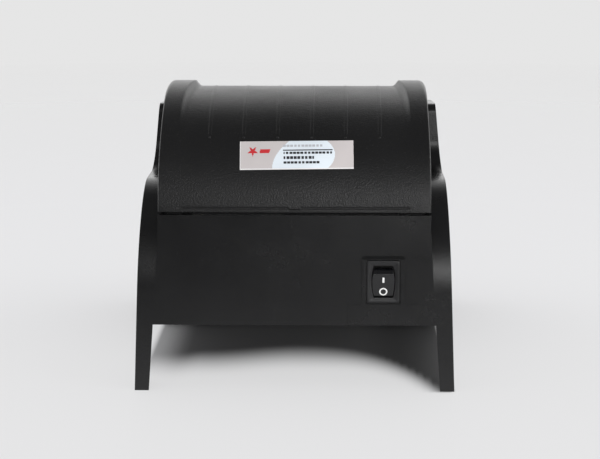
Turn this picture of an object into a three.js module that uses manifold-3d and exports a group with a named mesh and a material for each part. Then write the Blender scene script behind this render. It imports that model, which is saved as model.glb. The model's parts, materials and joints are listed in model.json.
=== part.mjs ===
// Desktop receipt printer for 58 mm paper, as an assembly of separate pieces.
// Millimetres, +Z up, front towards -Y, rear towards +Y, origin on the floor under the middle.
import * as THREE from "three";
import { mergeVertices } from "three/addons/utils/BufferGeometryUtils.js";
import Module from "manifold-3d";

const wasm = await Module();
wasm.setup();

// ---------------------------------------------------------------- driving dimensions
const FRONT = -75; // front face of the body
const BACK = 73; // rear panel and the rear of the legs
const FLOOR_HALF_WIDTH = 54.05; // outside of a leg at the floor
const SIDE_DRAFT = Math.tan(THREE.MathUtils.degToRad(2.15)); // the sides lean in as they rise
const CHEEK_DRAFT = Math.tan(THREE.MathUtils.degToRad(5.4)); // and more so above the wings
const INNER_HALF = 46; // inside faces of the wings and cheeks
const BELLY_Z = 22.8; // underside between the legs
const FRONT_BASE_Z = 3; // underside of the front body
const SEAM_Z = 60.2; // top edge of the rear panel
const GAP = 0.3; // between a piece and its neighbour
const WALL = 2.2;

const DOME = { y: BACK - 44, z: 59, r: 42, inner: 38.2, half: 45.6, from: 2.6, to: 141 };
const RIM_HALF = 36; // the cover's middle band starts here
const RECESS = { depth: 2, from: 39, to: 80 }; // degrees round the dome
const HINGE = { y: DOME.y + 38.4, z: 62.5 };
const COVER_SWEEP = 4.1; // clear radius round the hinge for the cover's lower edge
const ROLL = { r: 25, half: 28.75 }; // largest paper roll

const WING = { startZ: 34, topZ: 69, depth: 27 }; // curved rear of each wing
const CHEEK = { y: 22, topZ: 92, frontZ: 90, fillet: 10, corner: 3 };
const SLOPE = { angle: THREE.MathUtils.degToRad(35), y: -21, z: 87.3, length: 46.4 };
const NOSE_Z = 36; // where the front curve meets the upright front face

const PLATEN = { y: DOME.y - 33, z: 75.5, r: 5.5, half: 29 };
const GEAR = { module: 0.75, x0: 37, x1: 41, slack: 0.1 };
const TEETH = { platen: 18, idler: 24, motor: 12 };
const SWITCH = { x: -29.8, z: 37.9, bezelW: 11, bezelH: 14.4, bodyW: 8.6, bodyH: 12.8 };

// ---------------------------------------------------------------- materials
const finish = (color, roughness, metalness = 0) =>
  new THREE.MeshStandardMaterial({ color, roughness, metalness });
const shellBlack = finish(0x1c1c1d, 0.55);
const innerBlack = finish(0x151516, 0.7);
const rubber = finish(0x101010, 0.9);
const steel = finish(0xb9bcc0, 0.35, 1);
const aluminium = finish(0xc6c8ca, 0.4, 1);
const whitePlastic = finish(0xd9d7cf, 0.5);
const boardGreen = finish(0x1f5a33, 0.5);
const ceramic = finish(0x6f6a64, 0.3);
const labelGrey = finish(0xb7b2af, 0.6);
const lampLens = finish(0x2f8f4a, 0.2);

// ---------------------------------------------------------------- solids
function solid(geometry) {
  const bare = geometry.index ? geometry.toNonIndexed() : geometry.clone();
  bare.deleteAttribute("normal");
  bare.deleteAttribute("uv");
  const merged = mergeVertices(bare, 1e-4);
  return new wasm.Manifold(
    new wasm.Mesh({
      numProp: 3,
      vertProperties: new Float32Array(merged.attributes.position.array),
      triVerts: new Uint32Array(merged.index.array),
    }),
  );
}

const join = (...parts) => parts.reduce((a, b) => a.add(b));
const cut = (body, ...tools) => tools.reduce((a, b) => a.subtract(b), body);

function polygon(points) {
  return new THREE.Shape(points.map(([u, v]) => new THREE.Vector2(u, v)));
}

function extrude(shape, depth, basis, origin, curveSegments) {
  const g = new THREE.ExtrudeGeometry(shape, { depth, bevelEnabled: false, curveSegments });
  g.applyMatrix4(new THREE.Matrix4().makeBasis(...basis).setPosition(...origin));
  return solid(g);
}

const X = new THREE.Vector3(1, 0, 0);
const Y = new THREE.Vector3(0, 1, 0);
const Z = new THREE.Vector3(0, 0, 1);
const MINUS_Y = new THREE.Vector3(0, -1, 0);

// A side view (y, z) run along X, a rear view (x, z) run along Y, a plan (x, y) run along Z.
const alongX = (shape, x0, x1, segments = 8) =>
  extrude(shape, x1 - x0, [Y, Z, X], [x0, 0, 0], segments);
const alongY = (shape, y0, y1, segments = 8) =>
  extrude(shape, y1 - y0, [X, Z, MINUS_Y], [0, y1, 0], segments);
const alongZ = (shape, z0, z1, segments = 8) =>
  extrude(shape, z1 - z0, [X, Y, Z], [0, 0, z0], segments);

function box(x0, x1, y0, y1, z0, z1) {
  const g = new THREE.BoxGeometry(x1 - x0, y1 - y0, z1 - z0);
  g.translate((x0 + x1) / 2, (y0 + y1) / 2, (z0 + z1) / 2);
  return solid(g);
}

function rodX(r, x0, x1, y, z, segments = 20) {
  const g = new THREE.CylinderGeometry(r, r, x1 - x0, segments);
  g.rotateZ(Math.PI / 2);
  g.translate((x0 + x1) / 2, y, z);
  return solid(g);
}

function rodZ(r, x, y, z0, z1, segments = 20) {
  const g = new THREE.CylinderGeometry(r, r, z1 - z0, segments);
  g.rotateX(Math.PI / 2);
  g.translate(x, y, (z0 + z1) / 2);
  return solid(g);
}

function roundedRectangle(u, v, width, height, r) {
  const s = new THREE.Shape();
  const [left, right] = [u - width / 2, u + width / 2];
  const [low, high] = [v - height / 2, v + height / 2];
  s.absarc(right - r, low + r, r, -Math.PI / 2, 0, false);
  s.absarc(right - r, high - r, r, 0, Math.PI / 2, false);
  s.absarc(left + r, high - r, r, Math.PI / 2, Math.PI, false);
  s.absarc(left + r, low + r, r, Math.PI, 1.5 * Math.PI, false);
  return s;
}

// A point at an angle (degrees) round the dome's axis, 0 at the rear and 90 at the top.
function domePoint(radius, degrees) {
  const a = THREE.MathUtils.degToRad(degrees);
  return [DOME.y + radius * Math.cos(a), DOME.z + radius * Math.sin(a)];
}

// A curved strip in side view between two radii, each a number or a function of the angle.
function domeStrip(outer, inner, from, to, step = 4) {
  const count = Math.ceil((to - from) / step);
  const angles = Array.from({ length: count + 1 }, (_, i) => from + ((to - from) * i) / count);
  const at = (radius, a) => domePoint(typeof radius === "function" ? radius(a) : radius, a);
  return polygon([
    ...angles.map((a) => at(outer, a)),
    ...angles.reverse().map((a) => at(inner, a)),
  ]);
}

class Coil extends THREE.Curve {
  constructor(radius, length, turns) {
    super();
    Object.assign(this, { radius, length, turns });
  }
  getPoint(t, target = new THREE.Vector3()) {
    const a = t * this.turns * 2 * Math.PI;
    return target.set(this.radius * Math.cos(a), this.radius * Math.sin(a), t * this.length);
  }
}

// A wound spring whose axis starts at the given place and runs along the given direction.
function spring(radius, wire, length, turns, direction, place) {
  const section = new THREE.Shape();
  section.absarc(0, 0, wire, 0, 2 * Math.PI, false);
  const g = new THREE.ExtrudeGeometry(section, {
    steps: turns * 8,
    curveSegments: 3,
    bevelEnabled: false,
    extrudePath: new Coil(radius, length, turns),
  });
  g.applyQuaternion(new THREE.Quaternion().setFromUnitVectors(Z, direction));
  g.translate(...place);
  return solid(g);
}

// ---------------------------------------------------------------- scene graph
const printer = new THREE.Group();

function place(name, body, material, parent = printer) {
  const m = body.getMesh();
  const g = new THREE.BufferGeometry();
  g.setAttribute("position", new THREE.BufferAttribute(m.vertProperties, 3));
  g.setIndex(new THREE.BufferAttribute(m.triVerts, 1));
  g.computeVertexNormals();
  const mesh = new THREE.Mesh(g, material);
  mesh.name = name;
  parent.add(mesh);
}

const SIDES = [
  ["left", -1],
  ["right", 1],
];

// Runs a shape along X between two distances from the middle, on one side.
const onSide = (side, shape, near, far) =>
  side > 0 ? alongX(shape, near, far) : alongX(shape, -far, -near);

// ---------------------------------------------------------------- main housing
// The sloping line of the control panel, set in from the cheeks by an inset.
function slopeLine(inset) {
  const [s, c] = [Math.sin(SLOPE.angle), Math.cos(SLOPE.angle)];
  const start = [SLOPE.y + inset * s, SLOPE.z - inset * c];
  const end = [start[0] - SLOPE.length * c, start[1] - SLOPE.length * s];
  const top = CHEEK.frontZ - inset;
  const front = FRONT + inset;
  return {
    start,
    end,
    crown: [start[0] + (top - start[1]) / Math.tan(SLOPE.angle), top],
    brow: [front, end[1] - (end[0] - front) * Math.tan(SLOPE.angle)],
    front,
    top,
  };
}

const ARCH = { rear: BACK - 14, front: -22, r: 6 };

function sideOutline() {
  const line = slopeLine(0);
  const s = new THREE.Shape();
  s.moveTo(ARCH.rear, 0);
  s.lineTo(BACK, 0);
  s.lineTo(BACK, WING.startZ);
  const wingY = BACK - WING.depth;
  const rise = WING.topZ - WING.startZ;
  s.absellipse(wingY, WING.startZ, WING.depth, rise, 0, Math.PI / 2, false);
  const filletY = CHEEK.y + CHEEK.fillet;
  s.absarc(filletY, WING.topZ + CHEEK.fillet, CHEEK.fillet, 1.5 * Math.PI, Math.PI, true);
  const cornerZ = CHEEK.topZ - CHEEK.corner;
  s.absarc(CHEEK.y - CHEEK.corner, cornerZ, CHEEK.corner, 0, Math.PI / 2, false);
  s.lineTo(line.crown[0] + 6, line.top);
  s.quadraticCurveTo(...line.crown, ...line.start);
  s.lineTo(...line.end);
  s.quadraticCurveTo(...line.brow, FRONT, NOSE_Z);
  s.lineTo(FRONT, FRONT_BASE_Z);
  s.lineTo(ARCH.front, FRONT_BASE_Z);
  s.lineTo(ARCH.front, BELLY_Z - ARCH.r);
  s.absarc(ARCH.front + ARCH.r, BELLY_Z - ARCH.r, ARCH.r, Math.PI, Math.PI / 2, true);
  s.absarc(ARCH.rear - ARCH.r, BELLY_Z - ARCH.r, ARCH.r, Math.PI / 2, 0, true);
  s.closePath();
  return s;
}

// Rear view of the whole body: its sides lean in, and more so above the wings.
function bodyOutline() {
  const wingHalf = FLOOR_HALF_WIDTH - WING.topZ * SIDE_DRAFT;
  const [low, high] = [-1, 120];
  const lowHalf = FLOOR_HALF_WIDTH - low * SIDE_DRAFT;
  const highHalf = wingHalf - (high - WING.topZ) * CHEEK_DRAFT;
  return polygon([
    [-lowHalf, low],
    [lowHalf, low],
    [wingHalf, WING.topZ],
    [highHalf, high],
    [-highHalf, high],
    [-wingHalf, WING.topZ],
  ]);
}

// Rear view of a block whose sides lean in, between two heights.
function leaningBlock(halfAtFloor, draft, z0, z1) {
  const half = (z) => halfAtFloor - z * draft;
  return polygon([
    [-half(z0), z0],
    [half(z0), z0],
    [half(z1), z1],
    [-half(z1), z1],
  ]);
}

const PANEL = { halfLow: 46.8, halfHigh: 45.3 }; // the flat rear panel, at wing start and at seam
const LEG = { insideLow: 49.25, insideHigh: 47.6, relief: 0.1 }; // relief per mm of depth

function mainHousing() {
  const lean = alongY(bodyOutline(), FRONT - 1, BACK + 1);
  const shell = alongX(sideOutline(), -60, 60, 10).intersect(lean);
  const slope = (PANEL.halfLow - PANEL.halfHigh) / (SEAM_Z - WING.startZ);
  const block = alongY(
    leaningBlock(PANEL.halfLow + slope * WING.startZ, slope, BELLY_Z, SEAM_Z),
    BACK - WALL,
    BACK,
  );
  const sideStubs = SIDES.map(([, side]) =>
    onSide(side, sideStubOutline(), INNER_HALF - 2, PANEL.halfHigh + GAP),
  );
  const frontWall = box(-INNER_HALF - 1, INNER_HALF + 1, FRONT, FRONT + 2.5, 3, 33.7);
  const hollow = box(-INNER_HALF, INNER_HALF, FRONT + 0.01, BACK - WALL, BELLY_Z - 20, 130);
  const behindPanel = box(-INNER_HALF, INNER_HALF, BACK - WALL - 1, BACK + 1, SEAM_Z, 130);
  const legSlope = (LEG.insideLow - LEG.insideHigh) / BELLY_Z;
  const between = leaningBlock(LEG.insideLow, legSlope, -1, BELLY_Z);
  const underBelly = alongY(between, ARCH.front + 1, BACK + 1);
  // The legs thin out towards the front, away from the middle.
  const legRelief = alongY(between, ARCH.rear - 1, BACK).warp((v) => {
    v[0] *= 1 + (LEG.relief * (BACK - v[1])) / LEG.insideLow;
  });
  let body = cut(shell, hollow, behindPanel, underBelly, legRelief);
  const coverSweep = rodX(COVER_SWEEP, -INNER_HALF, INNER_HALF, HINGE.y, HINGE.z, 32);
  body = cut(join(body, block, ...sideStubs, frontWall), coverSweep);
  body = join(body, switchFrame(), switchPlate(), ...hingeRibs(), ...screwPosts());
  return cut(body, ...housingHoles());
}

// Fills the corner between the proud panel and the wing's curved rear, on each side.
function sideStubOutline() {
  return polygon([
    [BACK - WING.depth, BELLY_Z + 4],
    [BACK, BELLY_Z + 4],
    [BACK, SEAM_Z],
    [BACK - WING.depth, SEAM_Z],
  ]);
}

const FRAME = { w: 14.2, low: 29.3, high: 46.6, proud: 1, topSlope: 1.1 };
const POCKET = { w: 11.8, h: 15.4 };

function switchFrame() {
  const midZ = (FRAME.low + FRAME.high) / 2;
  const outer = roundedRectangle(SWITCH.x, midZ, FRAME.w, FRAME.high - FRAME.low, 0.8);
  const collar = alongY(outer, BACK - 1, BACK + FRAME.proud, 3);
  const slopedTop = alongX(
    polygon([
      [BACK, FRAME.high],
      [BACK + FRAME.proud, FRAME.high - FRAME.topSlope],
      [BACK + FRAME.proud + 1, FRAME.high - FRAME.topSlope],
      [BACK + FRAME.proud + 1, FRAME.high + 1],
      [BACK, FRAME.high + 1],
    ]),
    SWITCH.x - FRAME.w,
    SWITCH.x + FRAME.w,
  );
  return cut(collar, slopedTop);
}

function switchPlate() {
  return box(-41.6, -18, BACK - 1, BACK + 0.5, BELLY_Z + 0.6, FRAME.low + 0.6);
}

const RIB = { near: 35, far: 38, front: BACK - 15 };

// Upright ribs inside the rear panel whose arms reach back to the cover's hinge axis.
function hingeRibs() {
  const eye = 1.8;
  const s = new THREE.Shape();
  s.moveTo(RIB.front, BELLY_Z + 3);
  s.lineTo(BACK - 1, BELLY_Z + 3);
  s.lineTo(BACK - 1, SEAM_Z - 5);
  s.lineTo(HINGE.y - 3.4, SEAM_Z - 5);
  s.lineTo(HINGE.y - 3.4, HINGE.z - eye);
  s.absarc(HINGE.y, HINGE.z, eye, -Math.PI / 2, Math.PI / 2, false);
  s.lineTo(RIB.front, HINGE.z + eye);
  s.closePath();
  return SIDES.map(([, side]) => onSide(side, s, RIB.near, RIB.far));
}

const SCREWS = [
  { y: BACK - 9, z: BELLY_Z },
  { y: -10, z: BELLY_Z },
  { y: -62, z: FRONT_BASE_Z },
];
const SCREW_X = 41.5;
const PLATE = 2; // thickness of the bottom cover

function screwPosts() {
  return SCREWS.flatMap(({ y, z }) =>
    SIDES.map(([, side]) => {
      const [a, b] = [side * (SCREW_X - 3), side * (INNER_HALF + 0.6)];
      const base = z + PLATE + GAP;
      return box(Math.min(a, b), Math.max(a, b), y - 3, y + 3, base, base + 12);
    }),
  );
}

function housingHoles() {
  const midZ = SWITCH.z;
  const pocketShape = roundedRectangle(SWITCH.x, midZ, POCKET.w, POCKET.h, 0.5);
  const pocket = alongY(pocketShape, BACK + 0.01, BACK + 3, 2);
  const throat = box(
    SWITCH.x - SWITCH.bodyW / 2 - GAP,
    SWITCH.x + SWITCH.bodyW / 2 + GAP,
    BACK - 4,
    BACK + 3,
    midZ - SWITCH.bodyH / 2 - GAP,
    midZ + SWITCH.bodyH / 2 + GAP,
  );
  const pinHoles = SIDES.map(([, side]) =>
    side > 0
      ? rodX(1.3, RIB.near - 1, RIB.far + 1, HINGE.y, HINGE.z)
      : rodX(1.3, -RIB.far - 1, -RIB.near + 1, HINGE.y, HINGE.z),
  );
  const screwHoles = SCREWS.flatMap(({ y, z }) =>
    SIDES.map(([, side]) => rodZ(1.6, side * SCREW_X, y, z - 5, z + 12, 12)),
  );
  return [pocket, throat, ...pinHoles, ...screwHoles];
}

// ---------------------------------------------------------------- bottom cover, screws, feet
const PORTS = [
  { name: "power_socket", x: -26, w: 9.5, h: 9.5 },
  { name: "usb_socket", x: -4, w: 12, h: 10.5 },
  { name: "drawer_socket", x: 22, w: 13.5, h: 12 },
];
const BOARD = { half: 36, y0: -70, y1: -24, z: 6.6, thick: 1.6 };
const PORT_WALL_Y = ARCH.front + 2;
const FEET = [
  { name: "rear", y: -30 },
  { name: "front", y: -66 },
];
const FOOT = { x: 34, r: 5, pocket: 0.8 };

function bottomCover() {
  const half = INNER_HALF - GAP;
  const belly = box(-half, half, PORT_WALL_Y - PLATE, BACK - WALL - GAP, BELLY_Z, BELLY_Z + PLATE);
  const wall = box(-half, half, PORT_WALL_Y - PLATE, PORT_WALL_Y, FRONT_BASE_Z, BELLY_Z + PLATE);
  const base = box(
    -half,
    half,
    FRONT + 2.5 + GAP,
    PORT_WALL_Y,
    FRONT_BASE_Z,
    FRONT_BASE_Z + PLATE,
  );
  const openings = PORTS.map(({ x, w, h }) =>
    box(
      x - w / 2 - GAP,
      x + w / 2 + GAP,
      PORT_WALL_Y - PLATE - 1,
      PORT_WALL_Y + 1,
      BOARD.z + BOARD.thick,
      BOARD.z + BOARD.thick + h + 2 * GAP,
    ),
  );
  const screwHoles = SCREWS.flatMap(({ y, z }) =>
    SIDES.map(([, side]) => rodZ(1.6, side * SCREW_X, y, z - 1, z + PLATE + 1, 12)),
  );
  const footPockets = FEET.flatMap(({ y }) =>
    SIDES.map(([, side]) =>
      rodZ(FOOT.r + GAP, side * FOOT.x, y, FRONT_BASE_Z - 1, FRONT_BASE_Z + FOOT.pocket),
    ),
  );
  return cut(join(belly, wall, base), ...openings, ...screwHoles, ...footPockets);
}

function screw(x, y, z) {
  const head = rodZ(2.6, x, y, z - 1.5, z - GAP, 16);
  return join(head, rodZ(1.3, x, y, z - 1, z + 10, 12));
}

function foot(x, y) {
  const top = FRONT_BASE_Z + FOOT.pocket - GAP;
  const profile = [
    [0, 0],
    [FOOT.r - 1, 0],
    [FOOT.r, 1],
    [FOOT.r, top],
    [0, top],
  ].map(([r, z]) => new THREE.Vector2(r, z));
  const g = new THREE.LatheGeometry(profile, 20);
  g.rotateX(Math.PI / 2);
  g.translate(x, y, 0);
  return solid(g);
}

// ---------------------------------------------------------------- front cover and controls
const COVER_INSET = 1.2;
const COVER_SKIN = 2.5;
const CROWN_Y = -13; // edge beside the tear bar
const FRONT_COVER_LOW = 34;

function frontCoverOutline() {
  const outer = slopeLine(COVER_INSET);
  const inner = slopeLine(COVER_INSET + COVER_SKIN);
  const s = new THREE.Shape();
  s.moveTo(CROWN_Y, outer.top);
  s.quadraticCurveTo(...outer.crown, ...outer.start);
  s.lineTo(...outer.end);
  s.quadraticCurveTo(...outer.brow, outer.front, NOSE_Z);
  s.lineTo(outer.front, FRONT_COVER_LOW);
  s.lineTo(inner.front, FRONT_COVER_LOW);
  s.lineTo(inner.front, NOSE_Z);
  s.quadraticCurveTo(...inner.brow, ...inner.end);
  s.lineTo(...inner.start);
  s.quadraticCurveTo(...inner.crown, CROWN_Y, inner.top);
  s.closePath();
  return s;
}

// The control panel's own frame: origin on its surface, z along its outward normal.
const panelLine = slopeLine(COVER_INSET);
const PANEL_MID = 0.48; // how far down the slope the controls sit
const panelFrame = new THREE.Group();
panelFrame.position.set(
  0,
  THREE.MathUtils.lerp(panelLine.start[0], panelLine.end[0], PANEL_MID),
  THREE.MathUtils.lerp(panelLine.start[1], panelLine.end[1], PANEL_MID),
);
panelFrame.rotation.x = SLOPE.angle;
panelFrame.updateMatrix();
printer.add(panelFrame);

const toPanel = (body) => body.transform(panelFrame.matrix.toArray());

const BUTTON = { x: 27, w: 15, h: 9, r: 3, proud: 1.4, flange: 1.2 };
const LAMPS = [
  { name: "power_lamp", x: 11 },
  { name: "paper_lamp", x: 3 },
];
const LAMP_R = 1.5;
const PANEL_BOARD_Z = -9;

function frontCover() {
  const skin = alongX(frontCoverOutline(), -INNER_HALF + GAP, INNER_HALF - GAP, 8);
  const buttonHole = alongZ(
    roundedRectangle(BUTTON.x, 0, BUTTON.w + 2 * GAP, BUTTON.h + 2 * GAP, BUTTON.r + GAP),
    -6,
    3,
    4,
  );
  const lampHoles = LAMPS.map(({ x }) => rodZ(LAMP_R + GAP, x, 0, -6, 3));
  const tabHole = box(
    LATCH.tabX0 - 0.8,
    LATCH.tabX1 + 0.8,
    LATCH.y - 10,
    LATCH.y - 0.6,
    LATCH.z + 8,
    CHEEK.topZ,
  );
  return cut(skin, toPanel(buttonHole), ...lampHoles.map(toPanel), tabHole);
}

function feedButton() {
  const cap = roundedRectangle(BUTTON.x, 0, BUTTON.w, BUTTON.h, BUTTON.r);
  const skirt = roundedRectangle(BUTTON.x, 0, BUTTON.w + 2.4, BUTTON.h + 2.4, BUTTON.r + 1.2);
  const under = -COVER_SKIN - GAP;
  const stem = rodZ(1.6, BUTTON.x, 0, -5.4, under - 1, 12);
  return join(
    alongZ(cap, under - 0.6, BUTTON.proud, 4),
    alongZ(skirt, under - BUTTON.flange, under, 4),
    stem,
  );
}

function controls() {
  place("feed_button", feedButton(), shellBlack, panelFrame);
  const top = PANEL_BOARD_Z + 1.2;
  place("panel_board", box(-4, 36, -7, 7, PANEL_BOARD_Z, top), boardGreen, panelFrame);
  const tact = box(BUTTON.x - 3, BUTTON.x + 3, -3, 3, top + 0.05, -6.75);
  place("feed_tact_switch", tact, innerBlack, panelFrame);
  LAMPS.forEach(({ name, x }) => {
    const lens = join(rodZ(LAMP_R, x, 0, -5, 0.4, 16), rodZ(2.2, x, 0, top + GAP, -3.4, 16));
    place(name, lens, lampLens, panelFrame);
  });
}

const TEAR = { y0: CROWN_Y + GAP, thick: 0.8, z0: 83, z1: 89.6, half: 31 };

// Saw-toothed strip beside the paper exit.
function tearBar() {
  const teeth = 31;
  const pitch = (2 * TEAR.half) / teeth;
  const points = [
    [-TEAR.half, TEAR.z0],
    [TEAR.half, TEAR.z0],
  ];
  for (let i = 0; i < teeth; i++) {
    points.push([TEAR.half - i * pitch, TEAR.z1 - 1.2]);
    points.push([TEAR.half - (i + 0.5) * pitch, TEAR.z1]);
  }
  points.push([-TEAR.half, TEAR.z1 - 1.2]);
  return alongY(polygon(points), TEAR.y0, TEAR.y0 + TEAR.thick);
}

// ---------------------------------------------------------------- paper cover (opens)
function smoothstep(t) {
  const k = THREE.MathUtils.clamp(t, 0, 1);
  return k * k * (3 - 2 * k);
}

const recessRadius = (degrees) =>
  DOME.r - RECESS.depth * smoothstep((degrees - RECESS.from) / (RECESS.to - RECESS.from));

const LIP_INNER = 40; // thinner wall at the paper exit
const END_WALL = 2;

function endWallOutline() {
  const arc = [];
  for (let a = DOME.from; a <= DOME.to; a += 4) arc.push(domePoint(DOME.r - 1, a));
  const front = domePoint(LIP_INNER, DOME.to);
  return polygon([...arc, front, [front[0], 62], [DOME.y + 36, 61]]);
}

// Flat lips that carry the cover forward over the mechanism, leaving the paper slot between.
const LIP = { slotHalf: 31.6, middleY: -6.5, sideY: CROWN_Y + GAP, rootY: 1, z0: 86.2, z1: 88.2 };

const lipOutline = () =>
  polygon([
    [LIP.sideY, LIP.z0],
    [LIP.rootY, LIP.z0],
    [LIP.rootY, LIP.z1],
    [LIP.sideY, LIP.z1],
  ]);

const KNUCKLE = { near: RIB.far + 0.6, far: 44, r: 2.3 };
const PIN_END = 42.4;

function paperCover() {
  const lipFrom = 128;
  const rim = domeStrip(DOME.r, DOME.inner, DOME.from, lipFrom);
  const rimLip = domeStrip(DOME.r, LIP_INNER - 1, lipFrom - 1, DOME.to);
  const middle = domeStrip(recessRadius, DOME.inner, DOME.from, lipFrom);
  const middleLip = domeStrip(recessRadius, DOME.inner + 0.4, lipFrom - 1, DOME.to);
  const rims = SIDES.flatMap(([, side]) => [
    onSide(side, rim, RIM_HALF, DOME.half),
    onSide(side, rimLip, RIM_HALF, DOME.half),
    onSide(side, endWallOutline(), DOME.half - END_WALL, DOME.half),
  ]);
  const knuckles = SIDES.map(([, side]) =>
    side > 0
      ? rodX(KNUCKLE.r, KNUCKLE.near, KNUCKLE.far, HINGE.y, HINGE.z)
      : rodX(KNUCKLE.r, -KNUCKLE.far, -KNUCKLE.near, HINGE.y, HINGE.z),
  );
  const band = [
    alongX(middle, -RIM_HALF - 0.5, RIM_HALF + 0.5),
    alongX(middleLip, -RIM_HALF - 0.5, RIM_HALF + 0.5),
  ];
  const lips = [
    box(-LIP.slotHalf - 1, LIP.slotHalf + 1, LIP.middleY, LIP.rootY, LIP.z0, LIP.z1),
    ...SIDES.map(([, side]) => onSide(side, lipOutline(), LIP.slotHalf, DOME.half)),
  ];
  const hingePocket = domeStrip(40.9, 34, -6, 14);
  const pockets = SIDES.map(([, side]) =>
    onSide(side, hingePocket, SPRING.near - 0.6, KNUCKLE.near),
  );
  const pinHoles = SIDES.map(([, side]) =>
    side > 0
      ? rodX(1.3, KNUCKLE.near - 1, PIN_END + 0.4, HINGE.y, HINGE.z)
      : rodX(1.3, -PIN_END - 0.4, -KNUCKLE.near + 1, HINGE.y, HINGE.z),
  );
  const below = box(-60, 60, BACK - 20, BACK + 5, 55, 61);
  return cut(join(...rims, ...band, ...lips, ...knuckles), ...pockets, ...pinHoles, below);
}

const LINER = { r: DOME.inner - GAP, thick: 1.5, from: 15, to: 126, half: DOME.half - END_WALL - GAP };
const EAR = { near: 31.3, far: 33.6 };
const BUSH = { r: 3.2 };

function coverLiner() {
  const skin = alongX(
    domeStrip(LINER.r, LINER.r - LINER.thick, LINER.from, LINER.to),
    -LINER.half,
    LINER.half,
  );
  const root = domePoint(LINER.r - 0.5, LINER.to);
  const rearRoot = domePoint(LINER.r - 0.5, LINER.to - 22);
  const ear = polygon([
    root,
    rearRoot,
    [PLATEN.y + 9, PLATEN.z - 3],
    [PLATEN.y + 2, PLATEN.z - 5.4],
    [PLATEN.y - 5.2, PLATEN.z - 3],
    [PLATEN.y - 5.2, PLATEN.z + 3],
    [PLATEN.y + 1, PLATEN.z + 4.6],
  ].reverse());
  const ears = SIDES.map(([, side]) => onSide(side, ear, EAR.near, EAR.far));
  const bores = rodX(BUSH.r + GAP, -40, 40, PLATEN.y, PLATEN.z, 16);
  return cut(join(skin, ...ears), bores);
}

const LABEL = { x: -0.2, w: 38, from: 22, to: 37.5 };

function coverLabel() {
  const strip = domeStrip(DOME.r + 0.35, DOME.r + 0.1, LABEL.from, LABEL.to);
  return alongX(strip, LABEL.x - LABEL.w / 2, LABEL.x + LABEL.w / 2);
}

const SPRING = { near: 30.2, far: 34.4, r: 1.65, wire: 0.25 };

function hingeParts() {
  SIDES.forEach(([label, side]) => {
    const inner = side > 0 ? SPRING.near - 0.3 : RIB.near - 0.6;
    const ends = [side * inner, side * PIN_END].sort((a, b) => a - b);
    place(`hinge_pin_${label}`, rodX(1, ...ends, HINGE.y, HINGE.z, 16), steel);
  });
  const coil = spring(SPRING.r, SPRING.wire, SPRING.far - SPRING.near - 0.6, 5, X, [
    SPRING.near + 0.3,
    HINGE.y,
    HINGE.z,
  ]);
  place("cover_spring", coil, steel);
}

// ---------------------------------------------------------------- paper bay
const BAY = {
  half: ROLL.half + 0.6,
  front: DOME.y - ROLL.r - 0.8,
  rear: DOME.y + ROLL.r + 0.8,
  floor: DOME.z - ROLL.r - 1,
  wall: 1.5,
  deckZ: 57,
};

const DECK_HALF = INNER_HALF - 2 - GAP;

function paperBay() {
  const { half, front, rear, floor, wall, deckZ } = BAY;
  const deckTop = deckZ + wall;
  const deck = box(-DECK_HALF, DECK_HALF, front + 3, RIB.front - GAP, deckZ, deckTop);
  const tub = box(-half - wall, half + wall, front - wall, rear + wall, floor - wall, deckTop);
  const room = box(-half, half, front, rear, floor, deckTop + 5);
  return cut(join(tub, deck), room);
}

// ---------------------------------------------------------------- print mechanism
const direction = (from, to) => Math.atan2(to.z - from.z, to.y - from.y);
const along = (from, angle, distance) => ({
  y: from.y + distance * Math.cos(angle),
  z: from.z + distance * Math.sin(angle),
});
const pitchRadius = (teeth) => (GEAR.module * teeth) / 2;

// The idler stands on the line along which the platen lifts away, so the teeth part cleanly.
const liftAngle = direction(HINGE, PLATEN) + Math.PI / 2;
const IDLER = along(
  PLATEN,
  liftAngle,
  pitchRadius(TEETH.platen) + pitchRadius(TEETH.idler) + GEAR.slack,
);
const MOTOR_ANGLE = THREE.MathUtils.degToRad(198);
const MOTOR = along(
  IDLER,
  MOTOR_ANGLE,
  pitchRadius(TEETH.idler) + pitchRadius(TEETH.motor) + GEAR.slack,
);

const PRESSURE = THREE.MathUtils.degToRad(20);
const involute = (a) => Math.tan(a) - a;

// Involute spur gear with a tooth centred on the phase angle.
function gear(teeth, centre, phase, bore) {
  const rp = pitchRadius(teeth);
  const base = rp * Math.cos(PRESSURE);
  const root = rp - 1.2 * GEAR.module;
  const tip = rp + 0.8 * GEAR.module;
  const thin = 0.07 / rp; // backlash on each flank
  const halfAt = (r) =>
    Math.PI / (2 * teeth) + involute(PRESSURE) - thin - involute(Math.acos(Math.min(1, base / r)));
  const flank = [root, Math.max(root, base), rp, tip];
  const points = [];
  for (let i = 0; i < teeth; i++) {
    const middle = phase + (i * 2 * Math.PI) / teeth;
    const turns = [...flank.map((r) => [r, -1]), ...flank.map((r) => [r, 1]).reverse()];
    turns.forEach(([r, sign]) => {
      const a = middle + sign * halfAt(r);
      points.push([centre.y + r * Math.cos(a), centre.z + r * Math.sin(a)]);
    });
  }
  const blank = alongX(polygon(points), GEAR.x0, GEAR.x1);
  return cut(blank, rodX(bore, GEAR.x0 - 1, GEAR.x1 + 1, centre.y, centre.z, 16));
}

function gears() {
  const down = direction(PLATEN, IDLER);
  const idlerPitch = (2 * Math.PI) / TEETH.idler;
  const idlerPhase = down + Math.PI + idlerPitch / 2;
  const out = direction(IDLER, MOTOR);
  const lead = (((out - idlerPhase) % idlerPitch) + idlerPitch) % idlerPitch;
  const motorPhase = out + Math.PI + (lead * TEETH.idler) / TEETH.motor + Math.PI / TEETH.motor;
  place("platen_gear", gear(TEETH.platen, PLATEN, down, 2.3), whitePlastic);
  place("idler_gear", gear(TEETH.idler, IDLER, idlerPhase, 1.8), whitePlastic);
  place("motor_pinion", gear(TEETH.motor, MOTOR, motorPhase, 1.3), whitePlastic);
}

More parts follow.
